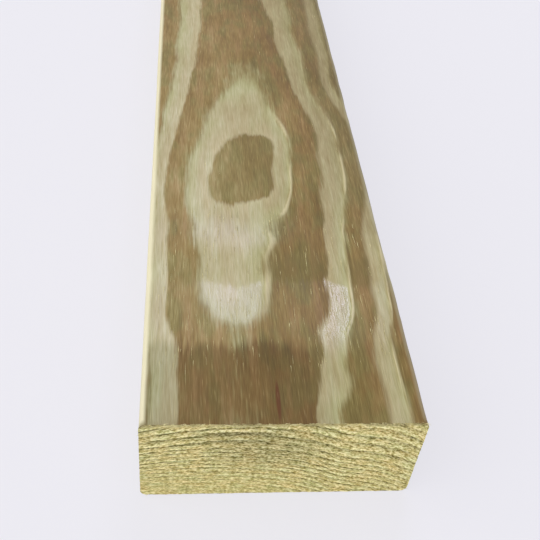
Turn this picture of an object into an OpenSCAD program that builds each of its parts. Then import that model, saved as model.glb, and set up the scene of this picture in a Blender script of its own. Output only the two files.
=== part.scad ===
// Dressed softwood plank, sawn square at both ends, with its four long edges eased.
// It lies flat on a wide face: width along X, length along Y, thickness along Z.
// The origin is at the middle of the face that it lies on.

/* [Plank] */
// Length between the two sawn ends
plank_length = 2438.4; // [300:0.1:6100]
// Width of the two wide faces, eased edges included
plank_width = 88.9; // [38:0.1:290]
// Thickness between the two wide faces
plank_thickness = 38.1; // [15:0.1:100]

/* [Eased edges] */
// Radius that the planer leaves on the four long edges
edge_radius = 2.5; // [0.5:0.1:6]

/* [Hidden] */
// Colour of the green-tinted, pressure-treated pine
treated_pine = [0.66, 0.60, 0.43];
// Sides of a whole circle at the eased edges
edge_facets = 48;
// From the plank's middle to the centres of the edge arcs
arc_x = plank_width / 2 - edge_radius;
arc_y = plank_thickness / 2 - edge_radius;

// Cross-section of the plank about its own middle: two crossed rectangles leave
// the corners open, and a round in each corner eases the edge there.
module eased_section() {
    square([2 * arc_x, plank_thickness], center = true);
    square([plank_width, 2 * arc_y], center = true);
    for (side_x = [-1, 1], side_y = [-1, 1])
        translate([side_x * arc_x, side_y * arc_y])
            circle(r = edge_radius, $fn = edge_facets);
}

// The one piece of stock: the section run from end to end, standing on its wide face.
module plank() {
    color(treated_pine)
        translate([0, 0, plank_thickness / 2])
            rotate([90, 0, 0])
                linear_extrude(height = plank_length, center = true)
                    eased_section();
}

plank();
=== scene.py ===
"""Looks of a pressure-treated pine plank: planed flat-sawn faces, eased edges and rough sawn ends.

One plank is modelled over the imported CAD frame. The growth rings of the tree run through it as one
field, so the bands on the wide faces meet the ring lines on the ends. Sizes named in mm are turned to
metres where they are used, and places on the plank are in mm: across from its middle, along from the
near end, and below its top face.
"""

import functools
import math

import bmesh
import bpy
import numpy as np
from mathutils import Matrix, Vector, noise


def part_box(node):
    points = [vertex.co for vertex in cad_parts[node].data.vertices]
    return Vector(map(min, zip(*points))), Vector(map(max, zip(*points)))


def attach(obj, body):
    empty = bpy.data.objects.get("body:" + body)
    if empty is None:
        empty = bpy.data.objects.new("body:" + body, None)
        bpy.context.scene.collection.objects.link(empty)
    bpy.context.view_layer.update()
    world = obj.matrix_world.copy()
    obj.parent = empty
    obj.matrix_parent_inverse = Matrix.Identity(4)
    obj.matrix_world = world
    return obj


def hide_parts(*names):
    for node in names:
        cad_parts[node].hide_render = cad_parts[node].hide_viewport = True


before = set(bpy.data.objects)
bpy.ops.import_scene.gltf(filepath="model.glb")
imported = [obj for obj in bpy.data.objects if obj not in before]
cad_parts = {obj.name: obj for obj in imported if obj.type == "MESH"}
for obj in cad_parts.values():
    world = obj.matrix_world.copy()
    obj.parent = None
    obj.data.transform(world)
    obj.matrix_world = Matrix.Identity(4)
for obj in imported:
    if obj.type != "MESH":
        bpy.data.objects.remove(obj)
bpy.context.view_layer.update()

MM = 0.001  # metres

low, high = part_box("plank")
near_end = low.y
top_face = high.z
size = high - low
middle = (low + high) / 2

# The CAD plank's flat face stops where its eased edge starts, which gives the edge's radius
flat_limit = max(v.co.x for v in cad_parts["plank"].data.vertices if v.co.z > high.z - 0.001 * MM)
edge_radius = high.x - flat_limit


# Camera

PICTURE_SIDE = 540  # pixels
FOCAL_LENGTH = 811  # pixels, a moderate telephoto of a hand-held camera
EYE = Vector((-33.9, -144.2, 236.3))  # mm, from the foot of the near end's middle
LOOK_DOWN = 42.76  # degrees below the horizon
LOOK_RIGHT = 9.03  # degrees from straight along the plank
LEAN = 7.03  # degrees that the camera is turned about its own axis


def turn(degrees, axis):
    return Matrix.Rotation(math.radians(degrees), 4, axis)


def add_camera():
    """Sets up the view down the plank from above its near end."""
    bpy.ops.object.camera_add()
    camera = bpy.context.object
    camera.name = "camera"
    camera.data.lens = camera.data.sensor_width * FOCAL_LENGTH / PICTURE_SIDE
    camera.data.clip_start = 10 * MM
    place = Vector((middle.x, near_end, low.z)) + EYE * MM
    aim = turn(-LOOK_RIGHT, "Z") @ turn(90 - LOOK_DOWN, "X") @ turn(LEAN, "Z")
    camera.matrix_world = Matrix.Translation(place) @ aim
    bpy.context.scene.camera = camera


add_camera()


# Growth rings

# Growth depths in mm at which the wood changes: into pale early wood, into brown late wood, and so on
RING_STEPS = (-13.4, -11.0, -8.1, -5.9, -2.7, 0.0, 3.1, 4.9, 6.9, 8.3)
OUTER_RING = 5.4  # mm, the even ring width before the first of those steps
INNER_RING = 2.45  # mm, the even ring width past the last of them

# Bumps that make the rings uneven: place across and along, height and reach in mm
RING_BUMPS = (
    (4, 147, 0.65, 8),
    (-17, 152, -0.3, 8),
    (-18, 120, 0.12, 7),
    (3, 117, 0.5, 8),
    (0, 208, 0.34, 7),
    (-14, 190, -0.2, 7),
    (-3, 161, -0.5, 7),
    (-5, 103, -0.3, 6),
    (-23, 58, 0.45, 9),
    (2, 76, -0.7, 8),
    (4, 56, -0.4, 8),
    (1, 41, -0.45, 6),
    (-24, 40, -0.3, 6),
    (5, 92, -0.45, 7),
    (21, 93, 0.6, 7),
    (19, 72, 0.6, 6.5),
    (17.5, 53, 0.65, 6.5),
    (14, 30, 0.5, 6),
    (24, 24, -0.8, 6),
    (20, 3, -2.1, 6.5),
    (36, 5, 0.4, 8),
    (-37, 40, 0.1, 9),
    (-35, 6, -0.35, 14),
    (17, 110, -0.7, 7),
    (18, 124, -0.85, 7),
    (18, 138, -0.8, 6),
    (5, 135, 0.25, 6),
    (16, 153, -0.4, 7),
    (13, 172, -0.35, 7),
    (-29, 104, 0.55, 7),
    (-26, 91, 0.45, 7),
    (37, 82, -0.6, 8),
    (-45, 36, 0.7, 9),
    (-43, 172, 0.4, 8),
    (26, 142, -0.3, 7),
    (-9, 203, -0.2, 6),
    (30, 250, -0.9, 14),
    (14, 257, 0.65, 11),
    (-37, 258, -0.5, 9),
)

# Swells of the rings in the length past the near stretch: place along, height and reach in mm
FAR_SWELLS = (
    (430, -1.6, 70),
    (640, 2.6, 110),
    (930, -1.4, 90),
    (1210, 3.4, 150),
    (1560, 1.8, 90),
    (1890, 4.2, 160),
    (2230, 6.4, 120),
)

# Growth depths in mm of the dark lines that stand out on the ends, with the count of each line
END_LINES = (-13.1, 8.5, 12.2, 15.1)
END_LINE_COUNTS = (-1, 5, 6, 7)
OUTER_LINE = 3.6  # mm between the lines before the first of those
INNER_LINE = 2.1  # mm between the lines past the last of them


def bell(distance, reach):
    return np.exp(-0.5 * (distance / reach) ** 2)


def growth_depth(across, along, below):
    """How far inside the datum ring a point of the wood lies, in mm. The heart of the tree is below."""
    # The rings arch over a crest that winds along the plank, each side with its own radius of bend
    crest = -14 + 11 * np.sin(along / 400) + 5 * bell(along - 195, 36) - 0.55 * below
    aside = across - crest
    left_bend = 82 + 9 * np.tanh((along - 175) / 15) + below
    right_bend = 122 - 40 * bell(along - 200, 22) + 1.2 * below
    bend = np.where(aside < 0, left_bend, right_bend)

    # Where they swell, the face cuts through deeper rings: a long eye, and a flat tail on its near side
    eye = 3.4 * bell(along - 126, np.where(along < 126, 29, 55))
    tail = np.exp(-0.5 * ((along - 64) / 22) ** 8)
    depth = 2.9 - 0.005 * along + eye + tail + below - aside**2 / (2 * bend)
    for x, y, swell, reach in RING_BUMPS:
        depth = depth + swell * bell(np.hypot(across - x, along - y), reach)
    for place, swell, reach in FAR_SWELLS:
        depth = depth + swell * bell(along - place, reach)
    return depth


def count_inwards(depth, steps, counts, outer, inner):
    """Counts along the growth depth: between known steps, and evenly before the first and past the last."""
    before = (np.minimum(depth, steps[0]) - steps[0]) / outer
    past = (np.maximum(depth, steps[-1]) - steps[-1]) / inner
    return np.interp(depth, steps, counts) + before + past


def ring_count(depth):
    """Counts rings inwards: a whole number where pale wood starts and a half where brown wood starts."""
    counts = (np.arange(len(RING_STEPS)) - 6) / 2
    return count_inwards(depth, RING_STEPS, counts, OUTER_RING, INNER_RING)


def end_line_count(depth):
    """Counts the dark ring lines on a sawn end: a whole number at the middle of each."""
    return count_inwards(depth, END_LINES, END_LINE_COUNTS, OUTER_LINE, INNER_LINE)


# Plank

COLUMNS = 128  # strips across each wide face
SIDE_COLUMNS = 40  # strips up each narrow face
EDGE_STEPS = 6  # strips round each eased edge
NEAR_STRETCH = 300  # mm of the length that gets short rows
NEAR_ROW = 2.5  # mm
FAR_ROW = 22  # mm


def select_edges(piece, wanted):
    """Selects the edges for which wanted is true of the edge's two ends, in edit mode."""
    mesh = bmesh.from_edit_mesh(piece.data)
    for part in (*mesh.faces, *mesh.edges, *mesh.verts):
        part.select = False
    for edge in mesh.edges:
        if wanted(edge.verts[0].co, edge.verts[1].co):
            edge.select_set(True)
    bmesh.update_edit_mesh(piece.data)


def select_end_faces(piece):
    mesh = bmesh.from_edit_mesh(piece.data)
    for face in mesh.faces:
        face.select_set(abs(face.normal.y) > 0.9)
    bmesh.update_edit_mesh(piece.data)


def split_edges(piece, wanted, parts):
    """Splits the edges that are wanted into so many parts, and the faces between them into strips."""
    most = 80  # parts at once, fewer than the operator's own limit
    first = math.ceil(parts / most)
    second = round(parts / first)
    for share in (first, second):
        if share > 1:
            select_edges(piece, wanted)
            bpy.ops.mesh.subdivide(number_cuts=share - 1)


def same(first, second):
    return abs(first - second) < 0.01 * MM


def runs_along(first, second):
    return same(first.x, second.x) and same(first.z, second.z)


def runs_across(first, second):
    return same(first.y, second.y) and same(first.z, second.z)


def runs_up(first, second):
    return same(first.x, second.x) and same(first.y, second.y)


def add_blank():
    """Makes the plank's shell, a block with eased long edges, in rows that are short near the seen end."""
    bpy.ops.object.select_all(action="DESELECT")
    bpy.ops.mesh.primitive_cube_add(size=1, calc_uvs=False, location=middle, scale=size)
    plank = bpy.context.object
    plank.name = "treated_plank"
    bpy.ops.object.transform_apply(location=True, rotation=True, scale=True)

    bpy.ops.object.mode_set(mode="EDIT")
    bpy.ops.mesh.select_mode(type="EDGE")
    select_edges(plank, runs_along)
    bpy.ops.mesh.bevel(offset=edge_radius, segments=EDGE_STEPS, profile=0.5, affect="EDGES")
    bpy.ops.mesh.select_mode(type="FACE")
    select_end_faces(plank)
    bpy.ops.mesh.delete(type="ONLY_FACE")

    bpy.ops.mesh.select_mode(type="EDGE")
    split = near_end + NEAR_STRETCH * MM
    split_edges(plank, runs_across, COLUMNS)
    split_edges(plank, runs_up, SIDE_COLUMNS)
    bpy.ops.mesh.select_all(action="SELECT")
    bpy.ops.mesh.bisect(plane_co=(0, split, 0), plane_no=(0, 1, 0))
    near_rows = round(NEAR_STRETCH / NEAR_ROW)
    far_rows = round((size.y / MM - NEAR_STRETCH) / FAR_ROW)
    split_edges(plank, lambda a, b: runs_along(a, b) and (a.y + b.y) / 2 > split, far_rows)
    split_edges(plank, lambda a, b: runs_along(a, b) and (a.y + b.y) / 2 < split, near_rows)
    for end in (low.y, high.y):
        close_end(plank, end)
    bpy.ops.mesh.select_all(action="SELECT")
    bpy.ops.mesh.normals_make_consistent(inside=False)
    bpy.ops.object.mode_set(mode="OBJECT")
    return plank


def close_end(piece, end):
    """Fills one open end with a grid of faces, from the middle of an eased corner."""
    select_edges(piece, lambda a, b: same(a.y, end) and same(b.y, end))
    mesh = bmesh.from_edit_mesh(piece.data)
    corner = Vector((high.x, end, high.z))
    start = min(mesh.verts, key=lambda v: (v.co - corner).length)
    mesh.select_history.clear()
    mesh.select_history.add(start)
    bmesh.update_edit_mesh(piece.data)
    bpy.ops.mesh.fill_grid(span=COLUMNS + EDGE_STEPS, offset=0)


# Map for baking: shares of its height that the far length, the near stretch and the ends fill, with gaps
FAR_FOOT, FAR_TOP = 0.004, 0.446
NEAR_FOOT, NEAR_TOP = 0.452, 0.776
END_FOOT, END_TOP = 0.784, 0.996
MAP_GAP = 0.004


def girth_place(across, up):
    """How far round the section a point lies, as a share of the girth from the foot of the right side."""
    flat_x = size.x / 2 - edge_radius
    flat_z = size.z / 2 - edge_radius
    x = np.clip(across, -flat_x, flat_x)
    z = np.clip(up, -flat_z, flat_z)
    slack = 0.001  # radians
    turned = np.arctan2(up - z, across - x) % math.tau
    turned = np.where(turned > math.tau - slack, 0, turned)
    sides = [turned < quarter * math.pi / 2 + slack for quarter in range(4)]
    gone = (
        z + flat_z,
        2 * flat_z + flat_x - x,
        2 * flat_z + 2 * flat_x + flat_z - z,
        4 * flat_z + 2 * flat_x + x + flat_x,
    )
    straight = np.select(sides, gone, 4 * (flat_x + flat_z))
    return (straight + edge_radius * turned) / (4 * (flat_x + flat_z) + math.tau * edge_radius)


def corners_of(mesh):
    """The face that each corner of the mesh belongs to, and the corner's place."""
    corners = np.empty(len(mesh.loops), int)
    mesh.loops.foreach_get("vertex_index", corners)
    counts = np.empty(len(mesh.polygons), int)
    mesh.polygons.foreach_get("loop_total", counts)
    spots = np.empty(len(mesh.vertices) * 3)
    mesh.vertices.foreach_get("co", spots)
    return np.repeat(np.arange(len(counts)), counts), spots.reshape(-1, 3)[corners]


def lay_out_map(plank):
    """Lays the skin out flat: the ends and the near stretch large, the far length in two halves."""
    face_of, spots = corners_of(plank.data)
    starts = np.flatnonzero(np.diff(face_of, prepend=-1))
    across, up = spots[:, 0] - middle.x, spots[:, 2] - middle.z
    along = spots[:, 1] - near_end
    round_it = girth_place(across, up)

    # A face on the seam is laid out past the whole girth and not back to its start
    widest = np.maximum.reduceat(round_it, starts)[face_of]
    round_it = np.where((widest > 0.75) & (round_it < 0.25), round_it + 1, round_it)

    # Which part of the map each face goes to, and where in that part
    first = np.minimum.reduceat(along, starts)[face_of]
    last = np.maximum.reduceat(along, starts)[face_of]
    near = NEAR_STRETCH * MM
    half = (size.y - near) / 2
    on_end = last - first < 0.01 * MM
    on_near = ~on_end & ((first + last) / 2 < near)
    second = np.where(on_end, first > near, (first + last) / 2 > near + half)
    part_u = np.where(on_end, across / size.x + 0.5, round_it)
    part_v = np.where(on_end, up / size.z + 0.5, (along - near - half * second) / half)
    part_v = np.where(on_near, along / near, part_v)
    wide = np.where(on_near, 1.0, 0.5)
    foot = np.select((on_end, on_near), (END_FOOT, NEAR_FOOT), FAR_FOOT)
    top = np.select((on_end, on_near), (END_TOP, NEAR_TOP), FAR_TOP)
    u = wide * (second & ~on_near) + MAP_GAP + part_u * (wide - 2 * MAP_GAP)
    v = foot + part_v * (top - foot)
    layer = plank.data.uv_layers.new(name="OFBake")
    layer.data.foreach_set("uv", np.stack((u, v), axis=1).ravel().astype(np.float32))


plank = add_blank()
lay_out_map(plank)


def places_of(piece):
    """Each vertex's place on the plank, in mm: across, along and below."""
    flat = np.empty(len(piece.data.vertices) * 3)
    piece.data.vertices.foreach_get("co", flat)
    spots = flat.reshape(-1, 3) / MM
    return spots[:, 0] - middle.x / MM, spots[:, 1] - near_end / MM, top_face / MM - spots[:, 2]


def unevenness(across, along, below, cell):
    """Smooth noise from -1 to 1 at each place, whose waves have the size of cell, in mm."""
    spots = np.stack((across / cell[0], along / cell[1], below / cell[2]), axis=1)
    return np.array([noise.noise(Vector(spot)) for spot in spots])


def store(piece, name, values):
    """Keeps one number for each vertex, for the materials to read."""
    layer = piece.data.attributes.new(name, "FLOAT", "POINT")
    layer.data.foreach_set("value", values.astype(np.float32))


def sink(piece, name, depth):
    """Lowers the surface by depth, which is in mm at each vertex."""
    deepest = depth.max()
    group = piece.vertex_groups.new(name=name)
    for vertex, share in enumerate(depth / deepest):
        group.add([vertex], share, "REPLACE")
    press = piece.modifiers.new(name, "DISPLACE")
    press.vertex_group = name
    press.mid_level = 0
    press.strength = -deepest * MM
    bpy.ops.object.modifier_apply(modifier=name)
    piece.vertex_groups.remove(piece.vertex_groups[name])


RAISED_GRAIN = 0.15  # mm that the brown late wood stands over the pale early wood
TORN_LIP = 0.2  # mm that the torn edge of a band stands up
FIBRE_WAVE = 0.04  # mm
EDGE_WEAR = 0.35  # mm
SAW_TEAR = 0.4  # mm that the saw tears out of the soft wood on the ends

# Cells in mm of the relief's unevenness: across, along and below, or through the rings for tufts and pits
LIP_CELL = (14, 22, 14)
FIBRE_CELL = (1.6, 40, 1.6)
DENT_CELL = (9, 14, 9)
TUFT_CELL = (2.2, 2.2, 1.1)
PIT_CELL = (1.0, 1.0, 0.8)


def late_wood(rings):
    """How far a place is in dense brown late wood, from 0 to 1."""
    return np.clip(0.5 - 2.5 * np.sin(math.tau * rings), 0, 1)


def torn_lips(rings, across, along, below):
    """How much a place is on a band's torn edge, from 0 to 1. The planer tore those on the right."""
    at_edge = bell(rings - np.round(rings), 0.032)
    patchy = np.clip(0.8 + 1.2 * unevenness(across, along, below, LIP_CELL), 0, 1)
    further = np.clip((along - 160) / 20, 0, 1)
    return at_edge * patchy * np.clip((across + 8) / 6, 0, 1) * (1 - 0.7 * further)


def finish_plank(plank):
    """Raises the grain, wears the edges, roughens the ends and stores the rings for the materials."""
    across, along, below = places_of(plank)
    depth = growth_depth(across, along, below)
    rings = ring_count(depth)
    lips = torn_lips(rings, across, along, below)
    at_end = (along < 0.01) | (along > size.y / MM - 0.01)
    aside = size.x / MM / 2 - np.abs(across)
    up = np.minimum(below, size.z / MM - below)
    on_edge = np.clip(1.4 - np.hypot(aside, up) / (edge_radius / MM), 0, 1)
    fibre = unevenness(across, along, below, FIBRE_CELL)
    dents = np.clip(unevenness(across, along, below, DENT_CELL), 0, 1)
    tufts = unevenness(across, along, depth, TUFT_CELL)
    pits = unevenness(across, along, depth, PIT_CELL)
    grain = RAISED_GRAIN * (1 - late_wood(rings)) + TORN_LIP * (1 - lips) + FIBRE_WAVE * (1 + fibre)
    faces = grain + EDGE_WEAR * on_edge * dents
    ends = SAW_TEAR * (0.5 + 0.25 * tufts + 0.25 * pits)

    # The narrow faces are paler at their eased edges, partly from wear and partly a painted highlight of
    # the light from the left, so the right-hand one gets little
    past_edge = np.clip((0.9 * edge_radius / MM - aside) / (0.3 * edge_radius / MM), 0, 1)
    side_wear_and_highlight = past_edge * (1 - 0.6 * np.clip(up / 7, 0, 1)) * np.where(across < 0, 1, 0.3)

    store(plank, "growth_depth", depth * MM)
    store(plank, "end_rings", end_line_count(depth))
    store(plank, "rings", rings)
    store(plank, "lip", lips)
    store(plank, "side", side_wear_and_highlight * (1 - at_end))
    sink(plank, "relief", np.where(at_end, ends, faces))


finish_plank(plank)
bpy.ops.object.shade_smooth_by_angle(angle=math.radians(50))


# Materials


def colour(code):
    """Linear colour of an sRGB hex code."""
    parts = [int(code[i : i + 2], 16) / 255 for i in (1, 3, 5)]
    linear = [p / 12.92 if p <= 0.04045 else ((p + 0.055) / 1.055) ** 2.4 for p in parts]
    return (*linear, 1.0)


def per_mm(across, along, up):
    """Scale that makes a pattern's cell this many mm in each direction."""
    return (1 / (across * MM), 1 / (along * MM), 1 / (up * MM))


def add_node(tree, kind, sockets, give=0, stops=(), **settings):
    """Adds a node with its settings, its sockets' values or links and a ramp's stops. Gives an output."""
    node = tree.nodes.new("ShaderNode" + kind)
    for name, value in settings.items():
        setattr(node, name, value)
    for socket, value in sockets.items():
        if isinstance(value, bpy.types.NodeSocket):
            tree.links.new(value, node.inputs[socket])
        else:
            node.inputs[socket].default_value = value
    for place, _ in stops[1:-1]:
        node.color_ramp.elements.new(place)
    for number, (place, code) in enumerate(stops):
        node.color_ramp.elements[number].position = place
        node.color_ramp.elements[number].color = colour(code)
    return node.outputs[give]


def new_material(name):
    """An empty material, a call that adds nodes to it, and its shader."""
    material = bpy.data.materials.new(name)
    material.use_nodes = True
    tree = material.node_tree
    return material, functools.partial(add_node, tree), tree.nodes["Principled BSDF"]


def feed(shader, socket, value):
    """Links a node's output to one of the shader's sockets."""
    shader.id_data.links.new(value, shader.inputs[socket])


SMOOTH = {"interpolation_type": "SMOOTHSTEP"}
TINT = {"data_type": "RGBA", "give": 2}
PLUS = {"operation": "ADD"}
MINUS = {"operation": "SUBTRACT"}
TIMES = {"operation": "MULTIPLY"}
TIMES_PLUS = {"operation": "MULTIPLY_ADD"}
LARGER = {"operation": "MAXIMUM"}


def stretch(add, place, rise, fall, level=1.0):
    """A share that rises between two places and falls to nothing between two later ones, all in mm."""
    start = add("MapRange", {"Value": place, 1: rise[0] * MM, 2: rise[1] * MM}, **SMOOTH)
    stop = add("MapRange", {"Value": place, 1: fall[1] * MM, 2: fall[0] * MM, 4: level}, **SMOOTH)
    return add("Math", {0: start, 1: stop}, **TIMES)


def spot_share(add, place, centre, reach, core, level):
    """A share that is level within the core of an oval spot and falls to nothing at its reach."""
    inside = add("Mapping", {0: place, 1: centre, 3: reach}, vector_type="TEXTURE")
    away = add("VectorMath", {0: inside}, "Value", operation="LENGTH")
    return add("MapRange", {"Value": away, 1: 1.0, 2: core, 4: level}, **SMOOTH)


# Planed wood

# Cells in mm, across, along and up, of the noises that planed wood is drawn with, and their detail.
# Real fibres are finer than these and would not show.
WOOD_NOISES = {
    "fine": ((0.3, 6, 0.3), 1),
    "strand": ((0.8, 14, 0.8), 3),
    "streak": ((3, 28, 3), 3),
    "waver": ((7, 14, 7), 3),
    "patch": ((18, 38, 18), 3),
}

# How much each noise deepens or lightens the wood
NOISE_SWINGS = {"fine": 0.5, "strand": 0.42, "streak": 0.45, "waver": 0.3, "patch": 0.45}

# Colours through one ring, from where its pale wood starts to where the next ring's does
PALE_STOPS = ((0.0, "#a4a16f"), (0.12, "#a9a373"), (0.3, "#ac9f75"), (0.5, "#b5a77d"), (0.9, "#a4a16f"))
BROWN_STOPS = ((0.1, "#836e39"), (0.5, "#7c6434"), (0.75, "#866e3c"), (1.0, "#836e39"))

# Marks across the faces, in mm from the near end: the stretch where each starts and the one where it stops
DARK_BAND = (58, 64), (70, 80)
NEAR_SHEEN = (22, 39), (60, 63)
FAR_SHEEN = (74, 86), (90, 103)
DARK_END = 28, 35  # mm from the near end, the stretch over which the darker near end stops
RESIN_STREAK = Vector((0.9, 10, 4))  # mm, half its width, length and depth


def wood_inputs(add):
    """What planed wood is drawn from: the place on the plank, the stored values and the noises."""
    place = add("TexCoord", {}, "Object")
    along = add("SeparateXYZ", {0: place}, "Y")
    wood = {"place": place}
    wood["across"] = add("SeparateXYZ", {0: place}, "X")
    wood["from_end"] = add("Math", {0: along, 1: near_end}, **MINUS)
    for name in ("rings", "lip", "side"):
        wood[name] = add("Attribute", {}, "Fac", attribute_name=name)
    for name, (cell, detail) in WOOD_NOISES.items():
        spot = add("VectorMath", {0: place, 1: per_mm(*cell)}, **TIMES)
        wood[name] = add("TexNoise", {"Vector": spot, "Scale": 1.0, "Detail": detail})
    return wood


def wavering_rings(add, wood):
    """How far through its ring a place is, and how far it is in late wood, both from 0 to 1."""
    # The rings waver and are combed out along the fibres
    wander = add("MapRange", {"Value": wood["waver"], 1: 0.2, 2: 0.8, 3: -0.045, 4: 0.045})
    comb = add("MapRange", {"Value": wood["strand"], 1: 0.2, 2: 0.8, 3: -0.05, 4: 0.05})
    sway = add("Math", {0: wander, 1: comb}, **PLUS)
    swayed = add("Math", {0: wood["rings"], 1: sway}, **PLUS)
    phase = add("Math", {0: swayed}, operation="FRACT")

    # A band's edge is softer where pale wood starts than where it stops, and softest at the right
    angle = add("Math", {0: swayed, 1: math.tau}, **TIMES)
    wave = add("Math", {0: angle}, operation="SINE")
    crossing = add("Math", {0: angle}, operation="COSINE")
    even_blur = add("MapRange", {"Value": wood["across"], 1: 22 * MM, 2: 34 * MM, 3: 0.42, 4: 0.75})
    blur = add("Math", {0: crossing, 1: 0.16, 2: even_blur}, **TIMES_PLUS)
    other_side = add("Math", {0: blur, 1: -1.0}, **TIMES)
    late = add("MapRange", {"Value": wave, 1: blur, 2: other_side}, **SMOOTH)
    return phase, late


def pale_wood(add, wood, phase):
    """Early wood: pale straw, greener along some streaks and rosier in some patches."""
    plain = add("ValToRGB", {"Fac": phase}, stops=PALE_STOPS)
    green_share = add("MapRange", {"Value": wood["streak"], 1: 0.4, 2: 0.7, 4: 0.5}, **SMOOTH)
    green = add("Mix", {0: green_share, 6: plain, 7: colour("#a7a475")}, **TINT)
    rosy_share = add("MapRange", {"Value": wood["patch"], 1: 0.55, 2: 0.35, 4: 0.5}, **SMOOTH)
    return add("Mix", {0: rosy_share, 6: green, 7: colour("#afa17a")}, **TINT)


def brown_wood(add, wood, phase):
    """Late wood: brown, with olive patches of preservative, ruddy streaks of resin and a duller eye."""
    plain = add("ValToRGB", {"Fac": phase}, stops=BROWN_STOPS)
    olive_share = add("MapRange", {"Value": wood["waver"], 1: 0.42, 2: 0.64, 4: 0.7}, **SMOOTH)
    olive = add("Mix", {0: olive_share, 6: plain, 7: colour("#716733")}, **TINT)
    ruddy_share = add("MapRange", {"Value": wood["streak"], 1: 0.48, 2: 0.7, 4: 0.4}, **SMOOTH)
    ruddy = add("Mix", {0: ruddy_share, 6: olive, 7: colour("#8a673c")}, **TINT)
    eye_share = add("MapRange", {"Value": wood["rings"], 1: 0.3, 2: 0.6, 4: 0.5}, **SMOOTH)
    return add("Mix", {0: eye_share, 6: ruddy, 7: colour("#7b6f3c")}, **TINT)


def banded_wood(add, wood, phase, late):
    """Both woods in their bands. Past the near end they grow dull towards the right, the pale one first."""
    past_end = add("MapRange", {"Value": wood["from_end"], 1: 70 * MM, 2: 130 * MM}, **SMOOTH)
    dulled = []
    for make, start, code in ((pale_wood, 2 * MM, "#8f8158"), (brown_wood, 24 * MM, "#74673a")):
        rightward = add("MapRange", {"Value": wood["across"], 1: start, 2: 42 * MM, 4: 0.7})
        share = add("Math", {0: rightward, 1: past_end}, **TIMES)
        dulled.append(add("Mix", {0: share, 6: make(add, wood, phase), 7: colour(code)}, **TINT))
    return add("Mix", {0: late, 6: dulled[0], 7: dulled[1]}, **TINT)


def toned_wood(add, wood, bands):
    """The bands with each noise's lighter and deeper tone, lighter to the left, and deeper further along as
    painted shade.
    """
    deepness = 1.0
    for name, swing in NOISE_SWINGS.items():
        centred = add("Math", {0: wood[name], 1: 0.5}, **MINUS)
        deepness = add("Math", {0: centred, 1: -swing, 2: deepness}, **TIMES_PLUS)
    leftward = add("MapRange", {"Value": wood["across"], 1: 4 * MM, 2: -20 * MM, 4: -0.19})
    # Deeper from 140 mm on: painted shade that dims the far face
    further = add("MapRange", {"Value": wood["from_end"], 1: 140 * MM, 2: 260 * MM, 4: 0.1})
    shaded = add("Math", {0: deepness, 1: leftward}, **PLUS)
    deeper = add("Math", {0: shaded, 1: further}, **PLUS)
    return add("Gamma", {"Color": bands, "Gamma": deeper})


def uneven_reach(add, wood):
    """The distance from the near end, made uneven, so that no mark across the face has a straight edge."""
    uneven = add("MapRange", {"Value": wood["patch"], 3: -8 * MM, 4: 8 * MM})
    feathered = add("MapRange", {"Value": wood["strand"], 3: -4 * MM, 4: 4 * MM})
    shift = add("Math", {0: uneven, 1: feathered}, **PLUS)
    return add("Math", {0: wood["from_end"], 1: shift}, **PLUS)


def dark_band_across(add, wood, late, reach, toned):
    """A darker olive band across the late wood, mostly to the right."""
    in_dark_band = stretch(add, reach, *DARK_BAND, level=0.5)
    rightward = add("MapRange", {"Value": wood["across"], 1: -28 * MM, 2: 0.0, 3: 0.3})
    on_late = add("Math", {0: rightward, 1: late}, **TIMES)
    share = add("Math", {0: in_dark_band, 1: on_late}, **TIMES)
    return add("Mix", {0: share, 6: toned, 7: colour("#6d6034")}, **TINT)


def darken_near_end(add, wood, late, reach, stained):
    """Darker towards the near end, the late wood most and the right least."""
    near = add("MapRange", {"Value": reach, 1: DARK_END[1] * MM, 2: DARK_END[0] * MM}, **SMOOTH)
    leftward = add("MapRange", {"Value": wood["across"], 1: 20 * MM, 2: 4 * MM, 3: 0.1, 4: 1.0}, **SMOOTH)
    on_late = add("MapRange", {"Value": late, 3: 0.5, 4: 0.9})
    here = add("Math", {0: near, 1: leftward}, **TIMES)
    share = add("Math", {0: here, 1: on_late}, **TIMES)
    tint = add("Mix", {0: late, 6: colour("#bcbfae"), 7: colour("#c8bba5")}, **TINT)
    return add("Mix", {0: share, 6: stained, 7: tint}, blend_type="MULTIPLY", **TINT)


def worn_and_highlighted_wood(add, wood, near_end_darkened):
    """Adds a streak of resin from the near end, pale broken fibres, torn lips and the worn narrow faces,
    with a painted highlight in the flecks, on the lips and on the left narrow face.
    """
    streak_place = Vector((-2 * MM, near_end + 9 * MM, top_face))
    resin_share = spot_share(add, wood["place"], streak_place, RESIN_STREAK * MM, core=0.5, level=0.9)
    resin = add("Mix", {0: resin_share, 6: near_end_darkened, 7: colour("#5c3412")}, **TINT)
    # Pale flecks on the fine fibres, partly a painted glint
    fleck_share = add("MapRange", {"Value": wood["fine"], 1: 0.64, 2: 0.82, 4: 0.3}, **SMOOTH)
    flecked = add("Mix", {0: fleck_share, 6: resin, 7: colour("#c2b078")}, **TINT)
    # Light colour on the torn lips, partly a painted highlight
    lip_share = add("MapRange", {"Value": wood["lip"], 1: 0.35, 2: 1.0, 4: 0.6}, **SMOOTH)
    torn = add("Mix", {0: lip_share, 6: flecked, 7: colour("#d8cda2")}, **TINT)
    # Pale narrow faces, worn and with a painted highlight on the left
    return add("Mix", {0: wood["side"], 6: torn, 7: colour("#dcd5b2")}, **TINT)


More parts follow.
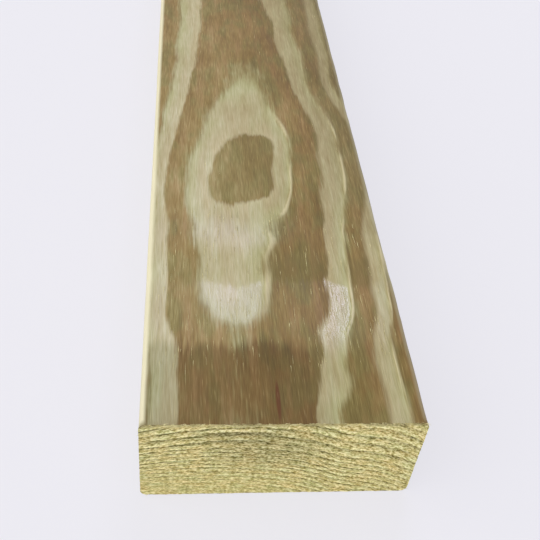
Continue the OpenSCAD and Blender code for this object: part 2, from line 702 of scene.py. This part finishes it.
def burnished(add, wood, late, reach):
    """Roughness of the face. Two bands were burnished by the planer's rollers, the soft pale wood most."""
    far_right = add("MapRange", {"Value": wood["across"], 1: 6 * MM, 2: 16 * MM, 3: 1.0, 4: 0.3})
    far_band = add("Math", {0: stretch(add, reach, *FAR_SHEEN, level=0.8), 1: far_right}, **TIMES)
    both_bands = add("Math", {0: stretch(add, reach, *NEAR_SHEEN), 1: far_band}, **PLUS)

    # The rollers pressed hardest right of the middle and least at both sides
    from_middle = add("Math", {0: wood["across"], 1: 2 * MM}, **PLUS)
    off_middle = add("Math", {0: from_middle}, operation="ABSOLUTE")
    in_middle = add("MapRange", {"Value": off_middle, 1: 36 * MM, 2: 28 * MM, 3: 0.5, 4: 1.0}, **SMOOTH)
    rightward = add("MapRange", {"Value": wood["across"], 1: 2 * MM, 2: 14 * MM, 3: 1.0, 4: 1.22})
    pressure = add("Math", {0: in_middle, 1: rightward}, **TIMES)
    pressed = add("Math", {0: both_bands, 1: pressure}, **TIMES)
    softness = add("MapRange", {"Value": late, 3: 0.4, 4: 0.12})
    polish = add("Math", {0: pressed, 1: softness}, **TIMES)
    grain_rough = add("MapRange", {"Value": wood["strand"], 1: 0.2, 2: 0.8, 3: 0.58, 4: 0.70})
    return add("Math", {0: grain_rough, 1: polish}, **MINUS)


def planed_pine():
    """Planed treated pine: soft-edged bands of pale early and brown late wood, with fibres along them."""
    material, add, shader = new_material("planed_treated_pine")
    wood = wood_inputs(add)
    phase, late = wavering_rings(add, wood)
    toned = toned_wood(add, wood, banded_wood(add, wood, phase, late))
    reach = uneven_reach(add, wood)
    near_end_darkened = darken_near_end(add, wood, late, reach, dark_band_across(add, wood, late, reach, toned))
    feed(shader, "Base Color", worn_and_highlighted_wood(add, wood, near_end_darkened))
    feed(shader, "Roughness", burnished(add, wood, late, reach))
    shader.inputs["Specular IOR Level"].default_value = 0.3

    # The fibres are finely ribbed, and the torn lips stand up
    ribs = add("Math", {0: wood["fine"], 1: wood["strand"]}, **PLUS)
    ribbed = add("Bump", {"Height": ribs, "Strength": 1.0, "Distance": 0.1 * MM})
    lipped = add("Bump", {"Height": wood["lip"], "Strength": 1.0, "Distance": 0.25 * MM, "Normal": ribbed})
    feed(shader, "Normal", lipped)
    return material


# Sawn ends

# Cells in mm, across, along and through the rings, of the noises of the sawn ends, and their detail.
# Real pits are finer than the specks and would not show.
END_NOISES = {
    "waver": ((6, 20, 3), 3),
    "patch": ((8, 20, 4), 2),
    "tuft": ((3.2, 20, 1.0), 3),
    "speck": ((1.1, 20, 0.6), 2),
}

# Colours from the middle of one dark ring line to the middle of the next
LINE_STOPS = (
    (0.0, "#6c643a"),
    (0.1, "#827a48"),
    (0.22, "#bcb27e"),
    (0.55, "#d2c890"),
    (0.76, "#efe8b4"),
    (0.9, "#ccc48a"),
    (1.0, "#6c643a"),
)

# A bright band of soft wood and two thick dark rings inside it, left of the middle.
# Each has its growth depth and half width in mm, and its colour.
THICK_RINGS = ((6.1, 0.8, "#f0eab8"), (7.7, 1.2, "#5f5930"), (11.4, 0.8, "#6c6438"))
THICK_STRETCH = (-32, -18), (-8, 2)  # mm across, where they start and where they stop
DULL_SPOT = Vector((27, 15, 1000))  # mm, half its width and height, and more than its depth


def end_inputs(add):
    """What the sawn ends are drawn from: the place, the stored rings and noises that follow the rings."""
    place = add("TexCoord", {}, "Object")
    across, along, up = [add("SeparateXYZ", {0: place}, axis) for axis in "XYZ"]
    depth = add("Attribute", {}, "Fac", attribute_name="growth_depth")
    lines = add("Attribute", {}, "Fac", attribute_name="end_rings")
    end = {"across": across, "up": up, "depth": depth, "lines": lines}
    ring_place = add("CombineXYZ", {0: across, 1: along, 2: depth})
    for name, (cell, detail) in END_NOISES.items():
        spot = add("VectorMath", {0: ring_place, 1: per_mm(*cell)}, **TIMES)
        end[name] = add("TexNoise", {"Vector": spot, "Scale": 1.0, "Detail": detail})

    # What the saw left is faint low down, most of all on the left
    lower = add("MapRange", {"Value": up, 1: 25 * MM, 2: 6 * MM, 4: 0.7})
    leftward = add("MapRange", {"Value": across, 1: 25 * MM, 2: -10 * MM, 3: 0.4, 4: 1.0})
    end["faint"] = add("Math", {0: lower, 1: leftward}, **TIMES)
    return end


def ring_lines(add, end):
    """Thin dark ring lines, which waver, break in places and are softer on the right."""
    wander = add("MapRange", {"Value": end["waver"], 1: 0.2, 2: 0.8, 3: -0.16, 4: 0.16})
    count = add("Math", {0: end["lines"], 1: wander}, **PLUS)
    phase = add("Math", {0: count}, operation="FRACT")
    lines = add("ValToRGB", {"Fac": phase}, stops=LINE_STOPS)
    broken = add("MapRange", {"Value": end["patch"], 1: 0.45, 2: 0.62, 4: 0.7}, **SMOOTH)
    rightward = add("MapRange", {"Value": end["across"], 1: 2 * MM, 2: 20 * MM, 4: 0.35})
    fainter = add("Math", {0: end["faint"], 1: rightward}, **LARGER)
    share = add("Math", {0: fainter, 1: broken}, **LARGER)
    return add("Mix", {0: share, 6: lines, 7: colour("#d1c78f")}, **TINT)


def thick_rings(add, end, ringed):
    """Lays the thick rings over the lines, left of the middle."""
    here = stretch(add, end["across"], *THICK_STRETCH)
    for depth, half, code in THICK_RINGS:
        off = add("Math", {0: end["depth"], 1: depth * MM}, **MINUS)
        away = add("Math", {0: off}, operation="ABSOLUTE")
        on_ring = add("MapRange", {"Value": away, 1: half * MM, 2: 0.4 * half * MM, 4: 0.8}, **SMOOTH)
        share = add("Math", {0: on_ring, 1: here}, **TIMES)
        ringed = add("Mix", {0: share, 6: ringed, 7: colour(code)}, **TINT)
    return ringed


def stained_end(add, end, ringed):
    """Tints the end greener and warmer in patches, and dulls its upper middle."""
    warmth = add("ValToRGB", {"Fac": end["patch"]}, stops=((0.35, "#f3f8ea"), (0.65, "#fdf3e0")))
    tinted = add("Mix", {0: 1.0, 6: ringed, 7: warmth}, blend_type="MULTIPLY", **TINT)
    section = add("CombineXYZ", {0: end["across"], 1: end["up"]})
    dull_place = Vector((-4 * MM, top_face - 13 * MM, 0))
    dull_share = spot_share(add, section, dull_place, DULL_SPOT * MM, core=0.2, level=0.48)
    return add("Mix", {0: dull_share, 6: tinted, 7: colour("#8f8656")}, **TINT)


def specks_with_painted_light(add, end, stained):
    """Speckles the end with bright tips and dark pits along the rings, where the saw pulled tufts out, with
    a painted highlight on the raised tips and painted shade in the pits.
    """
    # Lighter on high tufts and darker in low pits: painted highlight and painted shade
    from_tufts = add("Math", {0: end["tuft"], 1: -4.0, 2: 4.9}, **TIMES_PLUS)
    swing = add("Math", {0: end["speck"], 1: -5.9, 2: from_tufts}, **TIMES_PLUS)
    clear = add("MapRange", {"Value": end["faint"], 3: 0.5, 4: 0.3})
    deepness = add("Math", {0: swing, 1: clear, 2: 1.0}, **TIMES_PLUS)
    limited = add("Math", {0: deepness, 1: 0.72}, **LARGER)
    deepened = add("Gamma", {"Color": stained, "Gamma": limited})
    light = add("Math", {0: limited, 1: -0.7, 2: 1.7}, **TIMES_PLUS)
    return add("Mix", {0: 1.0, 6: deepened, 7: light}, blend_type="MULTIPLY", **TINT)


def brown_rim(add, end, speckled):
    """Darkens the end to brown in patches along its top rim."""
    from_top = add("Math", {0: top_face, 1: end["up"]}, **MINUS)
    near_rim = add("MapRange", {"Value": from_top, 1: 2.0 * MM, 2: 0.5 * MM, 4: 0.9}, **SMOOTH)
    mottle = add("MapRange", {"Value": end["patch"], 1: 0.62, 2: 0.42, 3: 0.15}, **SMOOTH)
    share = add("Math", {0: near_rim, 1: mottle}, **TIMES)
    return add("Mix", {0: share, 6: speckled, 7: colour("#75663f")}, **TINT)


def sawn_end_grain():
    """Sawn treated pine across the grain: yellow-green, torn to a matt fuzz, with darker ring lines."""
    material, add, shader = new_material("sawn_pine_end_grain")
    end = end_inputs(add)
    stained = stained_end(add, end, thick_rings(add, end, ring_lines(add, end)))
    feed(shader, "Base Color", brown_rim(add, end, specks_with_painted_light(add, end, stained)))
    shader.inputs["Roughness"].default_value = 0.85
    shader.inputs["Specular IOR Level"].default_value = 0.2
    heights = add("Math", {0: end["tuft"], 1: end["speck"]}, **PLUS)
    feed(shader, "Normal", add("Bump", {"Height": heights, "Strength": 1.0, "Distance": 0.4 * MM}))
    return material


# Deeper than the saw's tear, so that only the faces of an end lie within it
END_SKIN = 0.6  # mm


def dress_plank(plank):
    """Gives the faces planed wood and the two ends end grain."""
    plank.data.materials.append(planed_pine())
    plank.data.materials.append(sawn_end_grain())
    bpy.ops.object.mode_set(mode="EDIT")
    bpy.ops.mesh.select_mode(type="FACE")
    bpy.ops.mesh.select_all(action="DESELECT")
    mesh = bmesh.from_edit_mesh(plank.data)
    for face in mesh.faces:
        along = face.calc_center_median().y
        face.select_set(min(along - low.y, high.y - along) < END_SKIN * MM)
    bmesh.update_edit_mesh(plank.data)
    plank.active_material_index = 1
    bpy.ops.object.material_slot_assign()
    bpy.ops.object.mode_set(mode="OBJECT")


dress_plank(plank)


# Torn fibres

END_FIBRES = 1800  # on each sawn end
RIM_FIBRES = 700  # along the upper edge of each sawn end
NEAR_SPLINTERS = 260  # on the upper face, near the seen end
FAR_SPLINTERS = 420  # on each wide face, over the whole length
FIBRE_WIDTH = 0.2  # mm
SPLINTER_WIDTH = 0.19  # mm
LONGEST_SPLINTER = 22  # mm
NEAR_REACH = 125  # mm from the near end that the near splinters keep within
ROOT_DEPTH = 0.3  # mm that a root lies inside the surface
RIM_DEPTH = 1.0  # mm below the top face that the fibres of the upper edge start from at most

# How far in mm the roots stay from an end's sides, top and foot, and from a wide face's long edges
SIDE_MARGIN, TOP_MARGIN, FOOT_MARGIN = 0.8, 0.2, 0.6
FACE_MARGIN = 4


def torn_fibre_wood():
    """Loose pine fibres that the saw and the planer tore up: thin, pale and matt."""
    material, add, shader = new_material("torn_pine_fibre")
    place = add("VectorMath", {0: add("TexCoord", {}, "Object"), 1: per_mm(2, 2, 2)}, **TIMES)
    shade = add("TexNoise", {"Vector": place, "Scale": 1.0, "Detail": 1.0})
    straw = add("ValToRGB", {"Fac": shade}, stops=((0.3, "#aea26a"), (0.7, "#e3daa6")))
    feed(shader, "Base Color", straw)
    shader.inputs["Roughness"].default_value = 0.8
    return material


def model_fibre():
    """Models one tapered fibre of unit length along X, and gives its points and faces."""
    bpy.ops.object.select_all(action="DESELECT")
    along_x = (0, math.pi / 2, 0)
    bpy.ops.mesh.primitive_cone_add(vertices=3, radius1=0.5, radius2=0, depth=1, rotation=along_x)
    fibre = bpy.context.object
    bpy.ops.object.transform_apply(location=True, rotation=True, scale=True)
    bpy.ops.object.mode_set(mode="EDIT")
    bpy.ops.mesh.select_all(action="SELECT")
    bpy.ops.mesh.bisect(plane_co=(0, 0, 0), plane_no=(1, 0, 0))
    bpy.ops.object.mode_set(mode="OBJECT")
    points = np.array([v.co for v in fibre.data.vertices])
    points[:, 0] += 0.5
    faces = [list(f.vertices) for f in fibre.data.polygons]
    bpy.data.objects.remove(fibre)
    return points, faces


def laid_fibre(points, root, way, outward, length, width, curl):
    """Copies the fibre's points to a root on the plank, pointing along way, its tip curled sideways."""
    sideways = way.cross(outward).normalized()
    rising = sideways.cross(way).normalized()
    shape = points * (length * MM, width * MM, width * MM)
    bend = curl * length * MM * points[:, 0] ** 2
    placed = shape[:, :1] * np.array(way) + (shape[:, 1:2] + bend[:, None]) * np.array(sideways)
    return placed + shape[:, 2:] * np.array(rising) + np.array(root)


def fibres_on_end(points, chance, end, outward):
    """Fibres over one sawn end, with the rest along its upper edge."""
    for number in range(END_FIBRES + RIM_FIBRES):
        on_rim = number >= END_FIBRES
        x = chance.uniform(low.x + SIDE_MARGIN * MM, high.x - SIDE_MARGIN * MM)
        deepest = RIM_DEPTH * MM if on_rim else size.z - FOOT_MARGIN * MM
        z = high.z - chance.uniform(TOP_MARGIN * MM, deepest)
        heading = chance.choice((0, math.pi)) + chance.normal(0, 0.35)
        lift = chance.uniform(0.1, 0.5)
        way = Vector((math.cos(heading), outward.y * math.tan(lift), math.sin(heading))).normalized()
        length = chance.uniform(0.6, 2.0)
        width = FIBRE_WIDTH * chance.uniform(0.7, 1.8 if on_rim else 1.3)
        root = Vector((x, end - outward.y * ROOT_DEPTH * MM, z))
        yield laid_fibre(points, root, way, outward, length, width, chance.uniform(-0.25, 0.25))


def splinters_on_face(points, chance, count, face, outward, reach):
    """Splinters along the grain of one wide face, within reach in mm of the near end."""
    margin = LONGEST_SPLINTER + 1
    for _ in range(count):
        x = chance.uniform(low.x + FACE_MARGIN * MM, high.x - FACE_MARGIN * MM)
        y = near_end + chance.uniform(margin, reach - margin) * MM
        length = min(chance.lognormal(1.4, 0.6), LONGEST_SPLINTER)
        lean = chance.normal(0, 0.03)
        rise = outward.z * chance.uniform(0.05, 0.35) / length
        way = Vector((lean, chance.choice((-1, 1)), rise)).normalized()
        width = SPLINTER_WIDTH * chance.uniform(0.6, 1.3)
        root = Vector((x, y, face - outward.z * ROOT_DEPTH * MM))
        yield laid_fibre(points, root, way, outward, length, width, chance.uniform(-0.02, 0.02))


def add_fibres():
    """Scatters torn fibres over both sawn ends, and splinters over the wide faces."""
    points, faces = model_fibre()
    chance = np.random.default_rng(7)
    down, up = Vector((0, 0, -1)), Vector((0, 0, 1))
    spots = [
        *fibres_on_end(points, chance, low.y, Vector((0, -1, 0))),
        *fibres_on_end(points, chance, high.y, Vector((0, 1, 0))),
        *splinters_on_face(points, chance, NEAR_SPLINTERS, high.z, up, NEAR_REACH),
        *splinters_on_face(points, chance, FAR_SPLINTERS, high.z, up, size.y / MM),
        *splinters_on_face(points, chance, FAR_SPLINTERS, low.z, down, size.y / MM),
    ]
    starts = np.arange(len(spots)) * len(points)
    rows = [[corner + start for corner in face] for start in starts.tolist() for face in faces]
    mesh = bpy.data.meshes.new("torn_fibres")
    mesh.from_pydata(np.concatenate(spots).tolist(), [], rows)
    fibres = bpy.data.objects.new("torn_fibres", mesh)
    bpy.context.collection.objects.link(fibres)
    fibres.data.materials.append(torn_fibre_wood())
    return fibres


fibres = add_fibres()
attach(fibres, "root")
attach(plank, "root")
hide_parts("plank")


# Floor and light

PAPER = "#ecebf1"
PLAIN_SHARE = 0.8  # of the paper's look, which takes no shadow
FLOOR_SIDE = 60  # metres
FLOOR_GAP = 0.1  # mm under the plank
SOFT_LIGHT = 0.38  # level of the light from all round, where 1 shows a colour as written


def seen_directly(add):
    """Tells whether a surface or the backdrop is seen by the camera, in a gloss or through glass."""
    seen = add("LightPath", {}, "Is Camera Ray")
    for way in ("Is Glossy Ray", "Is Transmission Ray"):
        seen = add("Math", {0: seen, 1: add("LightPath", {}, way)}, **LARGER)
    return seen


def pale_paper():
    """Matt pale paper for the floor, which shows its own colour and a soft part of the shadow."""
    material, add, shader = new_material("pale_paper")
    tree = material.node_tree
    shader.inputs["Base Color"].default_value = colour(PAPER)
    shader.inputs["Roughness"].default_value = 1.0
    shader.inputs["Specular IOR Level"].default_value = 0.0
    plain = add("Emission", {"Color": colour(PAPER), "Strength": 1.0})
    share = add("Math", {0: seen_directly(add), 1: PLAIN_SHARE}, **TIMES)
    shown = add("MixShader", {0: share, 1: shader.outputs[0], 2: plain})
    tree.links.new(shown, tree.nodes["Material Output"].inputs["Surface"])
    return material


def add_floor():
    bpy.ops.object.select_all(action="DESELECT")
    bpy.ops.mesh.primitive_plane_add(size=FLOOR_SIDE, location=(0, 0, low.z - FLOOR_GAP * MM))
    floor = bpy.context.object
    floor.name = "floor"
    floor.data.materials.append(pale_paper())


def towards(azimuth, elevation):
    """Direction of a lamp: azimuth in degrees from straight along the plank to the right."""
    a = math.radians(azimuth)
    e = math.radians(elevation)
    return Vector((math.sin(a) * math.cos(e), math.cos(a) * math.cos(e), math.sin(e)))


def add_sun(name, azimuth, elevation, level, spread):
    """Adds far light that gives the floor this level, where 1 shows a colour as written."""
    bpy.ops.object.light_add(type="SUN")
    lamp = bpy.context.object
    lamp.name = name
    way = towards(azimuth, elevation)
    lamp.rotation_mode = "QUATERNION"
    lamp.rotation_quaternion = way.to_track_quat("Z", "Y")
    lamp.data.energy = level * math.pi / way.z
    lamp.data.angle = math.radians(spread)


WINDOW_AZIMUTH, WINDOW_ELEVATION = 10, 43.5  # degrees
WINDOW_DISTANCE = 3.0  # metres
WINDOW_WIDTH, WINDOW_HEIGHT = 1.1, 0.6  # metres
WINDOW_POWER = 22  # watts
WINDOW_LIGHT = "#dcdaff"
WINDOW_AIM = 65  # mm from the near end


def add_back_window():
    """Adds the bluish window past the far end, which the burnished bands reflect."""
    bpy.ops.object.light_add(type="AREA")
    lamp = bpy.context.object
    lamp.name = "back_window"
    way = towards(WINDOW_AZIMUTH, WINDOW_ELEVATION)
    lamp.location = Vector((middle.x, near_end + WINDOW_AIM * MM, top_face)) + way * WINDOW_DISTANCE
    lamp.rotation_mode = "QUATERNION"
    lamp.rotation_quaternion = way.to_track_quat("Z", "Y")
    lamp.data.shape = "RECTANGLE"
    lamp.data.size = WINDOW_WIDTH
    lamp.data.size_y = WINDOW_HEIGHT
    lamp.data.energy = WINDOW_POWER
    lamp.data.color = colour(WINDOW_LIGHT)[:3]
    lamp.visible_camera = False


def add_world():
    """Soft even light from all round, with the paper's colour behind the floor's edge."""
    world = bpy.data.worlds.new("studio")
    bpy.context.scene.world = world
    world.use_nodes = True
    tree = world.node_tree
    soft = tree.nodes["Background"]
    soft.inputs["Color"].default_value = (1, 1, 1, 1)
    soft.inputs["Strength"].default_value = SOFT_LIGHT
    backdrop = add_node(tree, "Background", {"Color": colour(PAPER), "Strength": 1.0})
    seen = seen_directly(functools.partial(add_node, tree))
    shown = add_node(tree, "MixShader", {0: seen, 1: soft.outputs[0], 2: backdrop})
    tree.links.new(shown, tree.nodes["World Output"].inputs["Surface"])


add_floor()
add_world()
add_sun("left_key", azimuth=-110, elevation=28, level=0.38, spread=90)
add_sun("front_fill", azimuth=160, elevation=40, level=0.12, spread=60)
add_back_window()
bpy.context.scene.view_settings.view_transform = "Standard"
